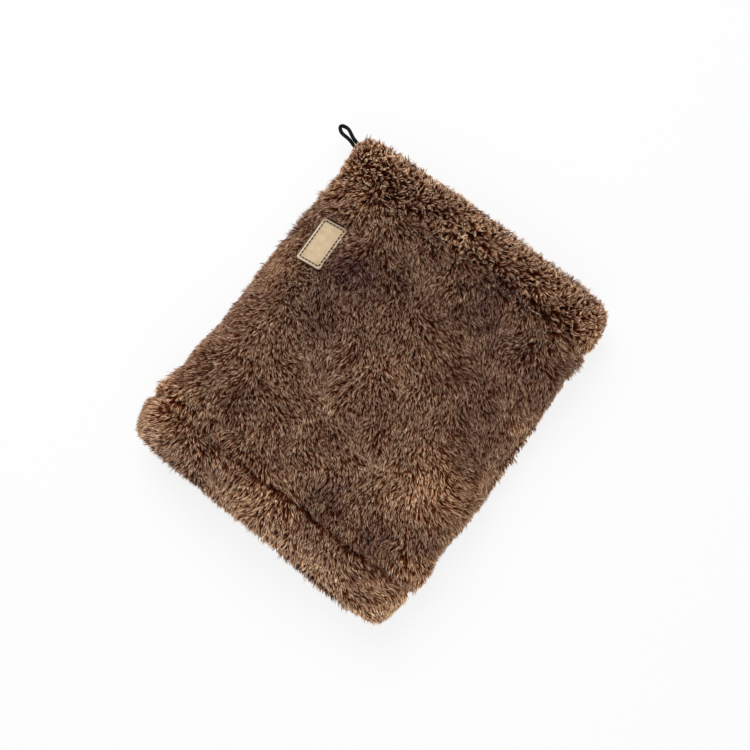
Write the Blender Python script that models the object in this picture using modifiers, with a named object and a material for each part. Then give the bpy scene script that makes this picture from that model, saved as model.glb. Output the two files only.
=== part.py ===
"""Hand warmer muff: a padded pile-fleece tube, open at both ends, lying flat on its back.

X runs from mouth to mouth, Y across the two side folds, and Z up through the front.
The origin is under the middle of the muff, on the surface that it lies on. Units are metres.
"""

import math

import bmesh
import bpy
from mathutils import Euler, Matrix, Vector

# The muff, measured over the pile
muff_length = 0.312
muff_width = 0.252
side_radius = 0.023
crown_height = 0.014
crown_at_mouth = 0.010
cuff_depth = 0.040
mouth_draw = 0.005
fold_reach = 0.040

# The wall, from the pile inwards
shell_thickness = 0.008
wadding_thickness = 0.004
lining_thickness = 0.0024
groove_depth = 0.005
groove_reach = 0.006

# Threads and clearances
touch_gap = 0.0003
hem_thread = 0.0010
label_thread = 0.0006
pocket_thread = 0.0008

# The side seams' turned-in edges
seam_clearance = 0.0006
seam_round = 0.0007

# The sewn-on label
label_length = 0.040
label_width = 0.022
label_thickness = 0.0012
label_corner = 0.0015
label_inset = 0.0022
label_turn = math.radians(3.5)
label_from_hem = 0.060
label_from_side = 0.030
label_sink = 0.0015

# The corner cord loop
cord_diameter = 0.0028
loop_from_mouth = 0.012
loop_lean = math.radians(19)
loop_drop = 0.005
loop_span = 0.0255
loop_eye = 0.0126
tail_length = 0.010
tail_width = 0.0062
swing_clearance = 0.0004

# The heat pack and its pocket
pack_length = 0.090
pack_width = 0.062
pack_height = 0.008
pack_seal = 0.0012
pack_clearance = 0.0010
pocket_cloth = 0.0015
pocket_length = 0.086
pocket_round = 0.003
pocket_start = -0.052
pocket_from_side = 0.071
pack_side_room = 0.002
pack_end_room = 0.002
binding_width = 0.004

# How finely the soft forms are stepped
flat_steps = 4
fold_steps = 4
crown_steps = 12
body_steps = 8
lip_steps = 6

# Worked out from the sizes above
half_length = muff_length / 2
half_width = muff_width / 2
hem_x = half_length - cuff_depth
flat_half = half_width - side_radius
wadding_depth = shell_thickness + touch_gap
lining_depth = wadding_depth + wadding_thickness + touch_gap
wall = lining_depth + lining_thickness
lip_radius = wall / 2
upper_seam = flat_steps + fold_steps
upper_fold = upper_seam + fold_steps
lower_seam = upper_fold + crown_steps + fold_steps
total_steps = lower_seam + fold_steps
fold_step = (math.pi / 2 - 2 * math.atan(crown_height / flat_half)) / fold_steps
floor_z = wall + touch_gap
pocket_inside = pack_height + pack_clearance
pocket_width = pack_width + 2 * pack_side_room
pocket_mouth = pocket_start + pocket_length
pocket_centre = half_width - pocket_from_side

muff = bpy.data.collections.new("hand_warmer_muff")
cutters = bpy.data.collections.new("cutters")


def clear_scene():
    for item in list(bpy.data.objects):
        bpy.data.objects.remove(item, do_unlink=True)
    for group in (muff, cutters):
        bpy.context.scene.collection.children.link(group)


def make_material(name, colour, roughness, metallic=0.0):
    material = bpy.data.materials.new(name)
    material.use_nodes = True
    shader = material.node_tree.nodes["Principled BSDF"]
    shader.inputs["Base Color"].default_value = (*colour, 1.0)
    shader.inputs["Roughness"].default_value = roughness
    shader.inputs["Metallic"].default_value = metallic
    return material


def add_object(name, data, material, group=muff):
    item = bpy.data.objects.new(name, data)
    data.materials.append(material)
    group.objects.link(item)
    return item


def add_mesh(name, shape, material, group=muff):
    shape.normal_update()
    bmesh.ops.recalc_face_normals(shape, faces=shape.faces)
    mesh = bpy.data.meshes.new(name)
    shape.to_mesh(mesh)
    shape.free()
    mesh.shade_smooth()
    mesh.set_sharp_from_angle(angle=math.radians(40))
    return add_object(name, mesh, material, group)


def add_tube(name, points, diameter, material, closed=False):
    curve = bpy.data.curves.new(name, "CURVE")
    curve.dimensions = "3D"
    curve.bevel_depth = diameter / 2
    curve.bevel_resolution = 2 if diameter > 2 * hem_thread else 1
    curve.use_fill_caps = not closed
    spline = curve.splines.new("POLY")
    spline.points.add(len(points) - 1)
    for knot, place in zip(spline.points, points):
        knot.co = (*place, 1.0)
    spline.use_cyclic_u = closed
    return add_object(name, curve, material)


def rounded_box(size, corner, segments, upright_only=False):
    """A block of that size about the origin, with its edges rounded."""
    shape = bmesh.new()
    bmesh.ops.create_cube(shape, size=1.0, matrix=Matrix.Diagonal((*size, 1.0)))
    edges = shape.edges[:]
    if upright_only:
        edges = [edge for edge in edges if abs(edge.verts[0].co.z - edge.verts[1].co.z) > size[2] / 2]
    bmesh.ops.bevel(shape, geom=edges, offset=corner, segments=segments, affect="EDGES", profile=0.5)
    return shape


def cut(item, cutter):
    """Takes the cutter out of the item, and keeps it as a hidden guide."""
    cutter.hide_render = True
    cutter.display_type = "WIRE"
    boolean = item.modifiers.new("cut_" + cutter.name, "BOOLEAN")
    boolean.operation = "DIFFERENCE"
    boolean.solver = "EXACT"
    boolean.object = cutter


def crown_turn(x):
    """The angle that the front's crown turns through on each side of its top, at x."""
    share = min(1.0, abs(x) / half_length)
    rise = crown_height + (crown_at_mouth - crown_height) * share**2
    return 2 * math.atan(rise / flat_half)


def crown_radius(turn):
    return flat_half / math.sin(turn) + side_radius


def crown_centre(turn):
    """The height of the crown's centre, far below the muff."""
    return side_radius - flat_half / math.tan(turn)


def outer_section(station, x):
    """The pile's outline at x: y, z and the outward normal, counted round in steps from the back's -Y edge.

    The flat back, the two side folds and the crowned front follow each other as arcs that share tangents.
    """
    at = station % total_steps
    turn = crown_turn(x)
    if at <= flat_steps:
        return flat_half * (2 * at / flat_steps - 1), 0.0, 0.0, -1.0
    side = 1
    if at > upper_fold + crown_steps:
        side = -1
        at = 2 * upper_fold + crown_steps - at
    if at > upper_fold:
        angle = turn * (1 - 2 * (at - upper_fold) / crown_steps)
        across, up = math.sin(angle), math.cos(angle)
        radius = crown_radius(turn)
        return radius * across, crown_centre(turn) + radius * up, across, up
    if at <= upper_seam:
        angle = math.pi / 2 * (at - upper_seam) / fold_steps
    else:
        angle = (math.pi / 2 - turn) * (at - upper_seam) / fold_steps
    across, up = math.cos(angle), math.sin(angle)
    return side * (flat_half + side_radius * across), side_radius * (1 + up), side * across, up


def mouth_pull(y, x):
    """How far the cuff is drawn back at x, where the mouth turns round the side folds."""
    near_fold = max(0.0, 1 - (half_width - abs(y)) / fold_reach)
    along_cuff = min(1.0, max(0.0, (abs(x) - hem_x) / cuff_depth))
    return math.copysign(mouth_draw * near_fold**2 * along_cuff, x)


def wall_point(station, x, depth):
    """The point that far under the pile, at that step round the section."""
    y, z, across, up = outer_section(station, x)
    return Vector((x - mouth_pull(y, x), y - depth * across, z - depth * up))


def groove(from_hem):
    """How deep the stitch line draws the pile in, at that distance from it."""
    return groove_depth * math.exp(-((from_hem / groove_reach) ** 2))


def panel_stops(end, steps):
    """Places along X from -end to end, closer together where the stitch lines draw in."""
    near = [0.0, 0.6 * groove_reach, 1.2 * groove_reach, 2.0 * groove_reach]
    inner = end - near[-1]
    middle = [inner * (2 * i / steps - 1) for i in range(1, steps)]
    return [-end + step for step in near] + middle + [end - step for step in reversed(near)]


def make_panel(name, first, last, stops, outer, inner, material):
    """A sewn layer between two steps of the section: a flat grid, thickened and wrapped round the wall."""
    shape = bmesh.new()
    rows = len(stops) - 1
    bmesh.ops.create_grid(shape, x_segments=last - first, y_segments=rows, size=1.0)
    bmesh.ops.solidify(shape, geom=shape.faces[:], thickness=1.0)
    low = min(vertex.co.z for vertex in shape.verts)
    edge_share = touch_gap / 2 / ((side_radius - inner) * fold_step)
    for vertex in shape.verts:
        column = round((vertex.co.x + 1) / 2 * (last - first))
        x = stops[round((vertex.co.y + 1) / 2 * rows)]
        inset = edge_share * ((column == 0) - (column == last - first))
        on_inside = vertex.co.z < low + 0.5
        depth = inner if on_inside else outer + groove_at(x, outer)
        vertex.co = wall_point(first + column + inset, x, depth)
    return add_mesh(name, shape, material)


def groove_at(x, outer):
    """The stitch lines' groove, which only the outer layer has."""
    return groove(hem_x - abs(x)) if outer == 0.0 else 0.0


def make_shells(pile):
    end = hem_x - touch_gap / 2
    stops = panel_stops(end, body_steps)
    make_panel("back_shell", -fold_steps, upper_seam, stops, 0.0, shell_thickness, pile)
    front = make_panel("front_shell", upper_seam, lower_seam, stops, 0.0, shell_thickness, pile)
    return front


def make_inner_layers(wadding, lining):
    """Wadding stops short of the side seams, and the lining runs from seam to seam."""
    end = hem_x - touch_gap / 2
    stops = [end * (2 * i / body_steps - 1) for i in range(body_steps + 1)]
    filled = wadding_depth + wadding_thickness
    make_panel("back_wadding", 1 - fold_steps, upper_seam - 1, stops, wadding_depth, filled, wadding)
    make_panel("front_wadding", upper_seam + 1, lower_seam - 1, stops, wadding_depth, filled, wadding)
    make_panel("back_lining", -fold_steps, upper_seam, stops, lining_depth, wall, lining)
    make_panel("front_lining", upper_seam, lower_seam, stops, lining_depth, wall, lining)


def make_side_seams(edge_cloth):
    """The shells' edges, turned in and sewn together, fill the gap that the waddings leave at each fold."""
    inner = side_radius - lining_depth + touch_gap
    half_height = inner * math.tan(fold_step) - seam_clearance
    outer = side_radius - shell_thickness - half_height * math.tan(math.pi / 4 / fold_steps) - touch_gap
    size = (2 * hem_x - touch_gap, outer - inner, 2 * half_height)
    for name, side in (("upper_side_seam", 1), ("lower_side_seam", -1)):
        seam = add_mesh(name, rounded_box(size, seam_round, 2), edge_cloth)
        seam.location = (0.0, side * (flat_half + (inner + outer) / 2), side_radius)


def cuff_profile():
    """The folded hem's section: distance from the stitch line, and depth under the pile."""
    straight = cuff_depth - lip_radius
    near = [touch_gap / 2, 0.6 * groove_reach, 1.2 * groove_reach, 2.0 * groove_reach, straight]
    profile = [(place, groove(place)) for place in near]
    for i in range(1, lip_steps):
        angle = math.pi * i / lip_steps
        profile.append((straight + lip_radius * math.sin(angle), lip_radius * (1 - math.cos(angle))))
    for place in (straight, straight / 2, touch_gap / 2):
        profile.append((place, wall))
    return profile


def make_cuff(name, side, pile):
    """A torus, whose rings become the folded hem's section at each step round the mouth."""
    profile = cuff_profile()
    bpy.ops.mesh.primitive_torus_add(
        major_segments=total_steps, minor_segments=len(profile), major_radius=1.0, minor_radius=0.25
    )
    ring = bpy.context.object
    shape = bmesh.new()
    shape.from_mesh(ring.data)
    bpy.data.objects.remove(ring, do_unlink=True)
    for vertex in shape.verts:
        round_ring = math.atan2(vertex.co.y, vertex.co.x) / math.tau
        round_section = math.atan2(vertex.co.z, vertex.co.xy.length - 1.0) / math.tau
        station = round(round_ring * total_steps) % total_steps
        from_hem, depth = profile[round(round_section * len(profile)) % len(profile)]
        vertex.co = wall_point(station, side * (hem_x + from_hem), depth)
    return add_mesh(name, shape, pile)


def make_hem_stitching(thread):
    depth = groove_depth - touch_gap - hem_thread / 2
    for name, side in (("left_cuff_stitching", -1), ("right_cuff_stitching", 1)):
        line = [wall_point(station, side * hem_x, depth) for station in range(total_steps)]
        add_tube(name, line, hem_thread, thread, closed=True)


def label_frame():
    """The label's own frame: its middle on the pile, its normal up, turned a little on the front."""
    x = label_from_hem - hem_x
    y = label_from_side - half_width
    edges = [front_point(x, y + side * label_width / 2) for side in (-1, 1)]
    rise = edges[1] - edges[0]
    tilt = math.atan2(rise.z, rise.y)
    turned = Euler((tilt, 0.0, 0.0)).to_matrix() @ Euler((0.0, 0.0, label_turn)).to_matrix()
    return Matrix.Translation((edges[0] + edges[1]) / 2) @ turned.to_4x4()


def front_point(x, y):
    """The pile of the front above x and y."""
    turn = crown_turn(x)
    radius = crown_radius(turn)
    if abs(y) <= radius * math.sin(turn):
        return Vector((x, y, crown_centre(turn) + math.sqrt(radius**2 - y**2)))
    return Vector((x, y, side_radius + math.sqrt(side_radius**2 - (abs(y) - flat_half) ** 2)))


def make_label(front, leather, thread):
    place = label_frame()
    size = (label_length, label_width, label_thickness)
    label = add_mesh("label", rounded_box(size, label_corner, 3, upright_only=True), leather)
    label.matrix_world = place @ Matrix.Translation((0.0, 0.0, -label_sink - label_thickness / 2))
    room = 2 * touch_gap
    depth = label_sink + label_thickness + touch_gap
    above = 2 * depth
    bed = rounded_box((label_length + room, label_width + room, depth + above), label_corner, 3, upright_only=True)
    seat = add_mesh("label_seat", bed, leather, cutters)
    seat.matrix_world = place @ Matrix.Translation((0.0, 0.0, (above - depth) / 2))
    cut(front, seat)
    half_x = label_length / 2 - label_inset
    half_y = label_width / 2 - label_inset
    lift = touch_gap + label_thread / 2 - label_sink
    corners = [(half_x, half_y), (-half_x, half_y), (-half_x, -half_y), (half_x, -half_y)]
    line = [Vector((x, y, lift)) for x, y in corners]
    stitching = add_tube("label_stitching", line, label_thread, thread, closed=True)
    stitching.matrix_world = place


def smooth_points(knots, steps):
    """A smooth curve through the knots, with that many steps from each to the next."""
    points = []
    for i in range(len(knots) - 1):
        a, b = knots[max(i - 1, 0)], knots[i]
        c, d = knots[i + 1], knots[min(i + 2, len(knots) - 1)]
        for step in range(steps):
            t = step / steps
            points.append(
                0.5 * (2 * b + (c - a) * t + (2 * a - 5 * b + 4 * c - d) * t**2 + (3 * b - a - 3 * c + d) * t**3)
            )
    return points + [knots[-1]]


def loop_route():
    """The loop's centre line from its root: two strands side by side, an open eye and back again."""
    half_neck = cord_diameter / 2 + touch_gap
    half_eye = cord_diameter / 2 + 0.0014
    neck = loop_span - loop_eye
    side = [
        (0.0, half_neck),
        (neck / 3, half_neck),
        (neck * 2 / 3, half_neck),
        (neck, 0.0023),
        (neck + 0.0040, half_eye),
        (neck + 0.0075, half_eye),
        (neck + 0.0105, 0.0021),
        (neck + 0.0121, 0.0012),
        (loop_span, 0.0),
    ]
    strands = side + [(out, -across) for out, across in reversed(side[:-1])]
    knots = []
    for out, across in strands:
        x = across * math.cos(loop_lean) - out * math.sin(loop_lean)
        y = -out * math.cos(loop_lean) - across * math.sin(loop_lean)
        knots.append(Vector((x, y, -loop_drop * (out / loop_span) ** 2)))
    return smooth_points(knots, 3)


def make_hang_loop(left_cuff, cord):
    """The loop swings at its root, just outside the cuff, and its sewn tails sit in a slot in the cuff."""
    x = loop_from_mouth - half_length
    swing = cord_diameter / 2 + swing_clearance
    loop = add_tube("hang_loop", loop_route(), cord_diameter, cord)
    loop.location = (x, -half_width - swing, side_radius)
    tail_size = (tail_width, tail_length, cord_diameter)
    tails = add_mesh("loop_tails", rounded_box(tail_size, cord_diameter / 3, 2), cord)
    tails.location = (x, -half_width + tail_length / 2, side_radius)
    slot_size = (tail_width + 2 * touch_gap, 2 * (tail_length + touch_gap), cord_diameter + 2 * touch_gap)
    slot = add_mesh("tail_slot", rounded_box(slot_size, cord_diameter / 4, 2), cord, cutters)
    slot.location = (x, -half_width, side_radius)
    cut(left_cuff, slot)


def make_pocket(lining, tape, thread):
    """A patch pocket on the back lining: a thin raised pouch, open towards +X."""
    centre_x = (pocket_start + pocket_mouth) / 2
    size = (pocket_length, pocket_width, pocket_inside)
    shape = bmesh.new()
    bmesh.ops.create_cube(shape, size=1.0, matrix=Matrix.Diagonal((*size, 1.0)))
    open_faces = [face for face in shape.faces if face.normal.z < -0.5 or face.normal.x > 0.5]
    bmesh.ops.delete(shape, geom=open_faces, context="FACES")
    folds = [edge for edge in shape.edges if not edge.is_boundary]
    bmesh.ops.bevel(shape, geom=folds, offset=pocket_round, segments=2, affect="EDGES", profile=0.5)
    pocket = add_mesh("warmer_pocket", shape, lining)
    pocket.location = (centre_x, pocket_centre, floor_z + pocket_inside / 2)
    thicken = pocket.modifiers.new("cloth", "SOLIDIFY")
    thicken.thickness = pocket_cloth
    thicken.offset = 1.0
    thicken.use_even_offset = True

    tape_size = (binding_width, pocket_width - 2 * pocket_round, pocket_cloth + 2 * touch_gap)
    binding = add_mesh("pocket_binding", rounded_box(tape_size, pocket_cloth / 3, 2), tape)
    top = floor_z + pocket_inside + pocket_cloth / 2
    binding.location = (pocket_mouth + touch_gap + binding_width / 2, pocket_centre, top)

    aside = pocket_cloth + touch_gap + pocket_thread / 2
    half_across = pocket_width / 2 + aside
    ends = [
        (pocket_mouth, half_across),
        (pocket_start - aside, half_across),
        (pocket_start - aside, -half_across),
        (pocket_mouth, -half_across),
    ]
    line = [Vector((x, pocket_centre + y, floor_z + pocket_thread / 2)) for x, y in ends]
    add_tube("pocket_stitching", line, pocket_thread, thread)


def make_heat_pack(paper):
    """A sealed pouch: a flat grid, thickened, with both faces swelling inside its sealed rim."""
    shape = bmesh.new()
    columns, rows = 12, 10
    bmesh.ops.create_grid(shape, x_segments=columns, y_segments=rows, size=1.0)
    bmesh.ops.solidify(shape, geom=shape.faces[:], thickness=1.0)
    low = min(vertex.co.z for vertex in shape.verts)
    for vertex in shape.verts:
        across, along = vertex.co.y, vertex.co.x
        swell = ((1 - along**4) * (1 - across**4)) ** 0.6
        half = pack_seal / 2 + (pack_height - pack_seal) / 2 * swell
        face = -1 if vertex.co.z < low + 0.5 else 1
        vertex.co = (along * pack_length / 2, across * pack_width / 2, face * half)
    pack = add_mesh("heat_pack", shape, paper)
    pack_x = pocket_start + pack_end_room + pack_length / 2
    pack.location = (pack_x, pocket_centre, floor_z + pack_height / 2)


def main():
    clear_scene()
    pile = make_material("brown_pile_fleece", (0.127, 0.065, 0.040), 0.95)
    wadding = make_material("white_wadding", (0.78, 0.77, 0.74), 0.95)
    lining = make_material("brown_lining_fleece", (0.090, 0.050, 0.032), 0.9)
    edge_cloth = make_material("fleece_backing", (0.110, 0.062, 0.042), 0.85)
    brown_thread = make_material("brown_thread", (0.050, 0.024, 0.014), 0.6)
    leather = make_material("tan_leather", (0.638, 0.474, 0.292), 0.55)
    cord = make_material("black_cord", (0.008, 0.008, 0.009), 0.6)
    tape = make_material("brown_tape", (0.060, 0.033, 0.022), 0.7)
    paper = make_material("pack_paper", (0.72, 0.70, 0.66), 0.8)

    front = make_shells(pile)
    left_cuff = make_cuff("left_cuff", -1, pile)
    make_cuff("right_cuff", 1, pile)
    make_inner_layers(wadding, lining)
    make_side_seams(edge_cloth)
    make_hem_stitching(brown_thread)
    make_label(front, leather, brown_thread)
    make_hang_loop(left_cuff, cord)
    make_pocket(lining, tape, brown_thread)
    make_heat_pack(paper)


main()
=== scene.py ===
import math

import bmesh
import bpy
import numpy as np
from mathutils import Euler, Matrix, Vector


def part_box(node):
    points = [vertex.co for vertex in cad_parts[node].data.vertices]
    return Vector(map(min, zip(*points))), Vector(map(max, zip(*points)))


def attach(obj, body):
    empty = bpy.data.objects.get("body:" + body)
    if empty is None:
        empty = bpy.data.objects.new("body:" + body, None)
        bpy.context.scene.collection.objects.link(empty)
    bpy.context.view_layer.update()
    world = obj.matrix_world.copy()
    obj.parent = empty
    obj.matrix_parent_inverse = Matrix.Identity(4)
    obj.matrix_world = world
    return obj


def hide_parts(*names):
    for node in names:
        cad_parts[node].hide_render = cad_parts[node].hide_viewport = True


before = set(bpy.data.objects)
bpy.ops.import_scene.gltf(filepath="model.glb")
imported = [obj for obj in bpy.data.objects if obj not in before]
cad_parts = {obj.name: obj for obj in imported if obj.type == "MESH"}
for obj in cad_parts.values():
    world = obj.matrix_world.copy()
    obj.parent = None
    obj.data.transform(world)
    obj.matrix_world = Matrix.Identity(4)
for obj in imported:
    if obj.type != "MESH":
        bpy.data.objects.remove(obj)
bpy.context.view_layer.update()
print("frame:", len(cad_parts), "nodes")

# the muff's outer form over the pile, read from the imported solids
shellLow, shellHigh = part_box("front_shell")
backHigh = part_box("back_shell")[1]
cuffLow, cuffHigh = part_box("right_cuff")
packLow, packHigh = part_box("heat_pack")

form = {
    "crownAtMouth": 0.010,  # the front's rise above the folds at the mouths
    "mouthDraw": 0.005,     # how far the mouths pull back at the folds
    "foldReach": 0.040,
    "gap": 0.0003,
}
halfLength = cuffHigh.x
halfWidth = shellHigh.y
hemX = (shellHigh.x + cuffLow.x) / 2
cuffDepth = halfLength - hemX
sideRadius = (shellLow.z + backHigh.z) / 2
crown = shellHigh.z - 2 * sideRadius
wall = packLow.z - form["gap"]
flatHalf = halfWidth - sideRadius


def share(values):
    return np.clip(values, 0, 1)


def bell(distance, reach):
    return np.exp(-((distance / reach) ** 2))


def unit(vectors):
    return vectors / np.linalg.norm(vectors, axis=-1, keepdims=True)


def crownTurn(x):
    toMouth = np.minimum(1.0, np.abs(x) / halfLength)
    rise = crown + (form["crownAtMouth"] - crown) * toMouth**2
    return 2 * np.arctan(rise / flatHalf)


# lengths round the section at the middle: back, lower fold, upper fold, crown and the folds again
midTurn = float(crownTurn(0.0))
backRun = 2 * flatHalf
lowFold = math.pi / 2 * sideRadius
highFold = (math.pi / 2 - midTurn) * sideRadius
crownRun = 2 * midTurn * (flatHalf / math.sin(midTurn) + sideRadius)
backEnd = backRun
upperSeam = backEnd + lowFold
crownStart = upperSeam + highFold
crownEnd = crownStart + crownRun
lowerSeam = crownEnd + highFold
girth = lowerSeam + lowFold


def section(s, x):
    # y, z and outward normal at distance s round the section, counted from the back's -Y edge
    s = np.mod(s, girth)
    turn = crownTurn(x)
    far = s > crownEnd
    side = np.where(far, -1.0, 1.0)
    m = np.where(far, crownStart + crownEnd - s, s)
    low = math.pi / 2 * (m - upperSeam) / lowFold
    high = (math.pi / 2 - turn) * (m - upperSeam) / highFold
    fold = np.where(m <= upperSeam, low, high)
    over = turn * (1 - 2 * (m - crownStart) / crownRun)
    radius = flatHalf / np.sin(turn) + sideRadius
    centre = sideRadius - flatHalf / np.tan(turn)
    onBack = m <= backEnd
    onCrown = (m > crownStart) & ~far
    folds = (side * (flatHalf + sideRadius * np.cos(fold)), sideRadius * (1 + np.sin(fold)))
    folds += (side * np.cos(fold), np.sin(fold))
    crowns = (radius * np.sin(over), centre + radius * np.cos(over), np.sin(over), np.cos(over))
    backs = (flatHalf * (2 * s / backRun - 1), 0.0, 0.0, -1.0)
    places = zip(folds, crowns, backs)
    return [np.where(onBack, low, np.where(onCrown, top, edge)) for edge, top, low in places]


lay = (  # how this one lies: each corner's sides of X and Y, its shift in metres and how sharply that sets in
    (-1, -1, -0.0060, -0.0074, 4),  # the loop's corner
    (1, -1, -0.0020, 0.0028, 6),
    (-1, 1, -0.0028, -0.0012, 6),
    (1, 1, 0.0045, -0.0085, 11),
)
sideSwells = (  # which side, where along it, how long, how far towards +Y
    (-1, -0.140, 0.016, -0.0020),
    (-1, -0.060, 0.045, -0.0013),
    (-1, 0.010, 0.080, -0.0012),
    (-1, 0.070, 0.026, -0.0030),
    (-1, 0.114, 0.028, -0.0066),
    (1, 0.052, 0.050, 0.0054),
    (1, 0.100, 0.018, 0.0036),
)
mouthSlip = {"place": 0.058, "reach": 0.042, "front": -0.0050, "back": 0.0050}
lipSwells = (  # which mouth, where across it, how wide, how far towards +X
    (-1, -0.080, 0.035, 0.0010),
    (-1, 0.062, 0.035, 0.0014),
    (1, 0.060, 0.050, 0.0008),
)
layLimit = 1.1  # the pile that stands out past the sides moves with them, up to here


def laid(points):
    # the loose shape of the muff as it lies: each corner and side a little off the square
    x = points[..., 0] / halfLength
    y = points[..., 1] / halfWidth
    shift = np.zeros(points.shape)
    for alongSign, acrossSign, shiftX, shiftY, power in lay:
        weight = np.clip(alongSign * x, 0, 1.03) ** power * np.clip(acrossSign * y, 0, layLimit) ** 2
        shift[..., 0] += weight * shiftX
        shift[..., 1] += weight * shiftY
    for side, place, reach, far in sideSwells:
        near = bell(points[..., 0] - place, reach)
        shift[..., 1] += far * near * np.clip(side * y, 0, layLimit) ** 3
    for side, place, reach, far in lipSwells:
        near = bell(points[..., 1] - place, reach)
        shift[..., 0] += far * near * np.clip(side * x, 0, layLimit) ** 6
    # at the right mouth the back's lip shows a little beyond the front's
    near = bell(points[..., 1] - mouthSlip["place"], mouthSlip["reach"]) * np.clip(x, 0, layLimit) ** 6
    over = np.clip(points[..., 2] / sideRadius - 1, -1, 1)
    shift[..., 0] += near * np.where(over > 0, mouthSlip["front"], -mouthSlip["back"]) * over
    return points + shift


def waves(seed, count, scale):
    # a smooth field from about -1 to 1 with features about scale metres across, the same on every run
    draw = np.random.default_rng(seed)
    angle = draw.uniform(0, math.tau, count)
    reach = math.tau / scale * draw.uniform(0.6, 1.5, count)
    phase = draw.uniform(0, math.tau, count)

    def field(a, b):
        total = np.zeros_like(a)
        for i in range(count):
            total = total + np.sin(reach[i] * (np.cos(angle[i]) * a + np.sin(angle[i]) * b) + phase[i])
        return np.clip(total / math.sqrt(count * 1.5), -1.5, 1.5)

    return field


def wallPoint(s, x, depth):
    # the point that far under the pile's outline
    y, z, ny, nz = section(s, x)
    nearFold = np.maximum(0.0, 1 - (halfWidth - np.abs(y)) / form["foldReach"])
    onCuff = share((np.abs(x) - hemX) / cuffDepth)
    pulled = x - np.copysign(form["mouthDraw"] * nearFold**2 * onCuff, x)
    return laid(np.stack([pulled, y - depth * ny, z - depth * nz], axis=-1))


# mesh tools

def addMesh(name, points, faces, material=None):
    mesh = bpy.data.meshes.new(name)
    mesh.from_pydata(np.asarray(points).reshape(-1, 3).tolist(), [], faces)
    mesh.validate()
    mesh.update()
    shape = bmesh.new()
    shape.from_mesh(mesh)
    shape.normal_update()
    bmesh.ops.recalc_face_normals(shape, faces=shape.faces)
    shape.to_mesh(mesh)
    shape.free()
    mesh.shade_smooth()
    if material:
        mesh.materials.append(material)
    piece = bpy.data.objects.new(name, mesh)
    bpy.context.scene.collection.objects.link(piece)
    return piece


def gridFaces(rows, columns, start=0, wrapRows=False, wrapColumns=False):
    faces = []
    for i in range(rows if wrapRows else rows - 1):
        for j in range(columns if wrapColumns else columns - 1):
            a = i * columns
            b = (i + 1) % rows * columns
            k = (j + 1) % columns
            faces.append([start + a + j, start + a + k, start + b + k, start + b + j])
    return faces


def tubeFaces(rings, sides):
    faces = gridFaces(rings, sides, wrapColumns=True)
    faces.append(list(range(sides)))
    faces.append(list(range((rings - 1) * sides, rings * sides))[::-1])
    return faces


def addSlab(name, outer, inner, material):
    # a closed sheet between two grids of points
    rows, columns = outer.shape[:2]
    count = rows * columns
    faces = gridFaces(rows, columns) + [quad[::-1] for quad in gridFaces(rows, columns, count)]
    rim = [(0, j) for j in range(columns)] + [(i, columns - 1) for i in range(1, rows)]
    rim += [(rows - 1, j) for j in range(columns - 2, -1, -1)] + [(i, 0) for i in range(rows - 2, 0, -1)]
    ids = [i * columns + j for i, j in rim]
    for k, a in enumerate(ids):
        b = ids[(k + 1) % len(ids)]
        faces.append([b, a, a + count, b + count])
    return addMesh(name, np.concatenate([outer.reshape(-1, 3), inner.reshape(-1, 3)]), faces, material)


def ringFrames(path):
    # two directions across the path at each of its points, turning as little as possible
    tangent = unit(np.gradient(path, axis=0))
    across = [unit(np.cross(tangent[0], (0.13, 0.21, 0.97)))]
    for direction in tangent[1:]:
        across.append(unit(across[-1] - direction * np.dot(across[-1], direction)))
    across = np.array(across)
    return across, np.cross(tangent, across)


def tubeShape(path, radius, sides):
    # points and faces of a closed tube; radius is one for each ring and side
    rings = len(path)
    first, second = ringFrames(path)
    angle = math.tau * np.arange(sides) / sides
    swing = first[:, None] * np.cos(angle)[None, :, None] + second[:, None] * np.sin(angle)[None, :, None]
    points = (path[:, None] + swing * radius[..., None]).reshape(-1, 3)
    return points, tubeFaces(rings, sides)


def stripShape(low, high, axis, steps, sides, rounding, swell):
    # points and faces of a closed strip that fills a box along its axis, 0 or 1, with a rounded section
    low = np.array(low)
    high = np.array(high)
    half = (high - low) / 2
    middle = (high + low) / 2
    along = np.linspace(low[axis], high[axis], steps)
    angle = math.tau * np.arange(sides) / sides
    points = np.empty((steps, sides, 3))
    points[..., axis] = along[:, None]
    for other, turn in ((1 - axis, np.cos(angle)), (2, np.sin(angle))):
        flatter = np.copysign(np.abs(turn) ** rounding, turn)[None]
        points[..., other] = middle[other] + flatter * half[other] * swell(along)[:, None]
    return points.reshape(-1, 3), tubeFaces(steps, sides)


def joinShapes(shapes):
    points, faces, start = [], [], 0
    for somePoints, someFaces in shapes:
        points.append(somePoints)
        faces += [[start + i for i in face] for face in someFaces]
        start += len(somePoints)
    return np.concatenate(points), faces


def evenly(path, count):
    # the same path in steps of equal length
    along = np.concatenate([[0], np.cumsum(np.linalg.norm(np.diff(path, axis=0), axis=1))])
    places = np.linspace(0, along[-1], count)
    return np.stack([np.interp(places, along, path[:, k]) for k in range(3)], axis=1), along[-1]


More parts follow.
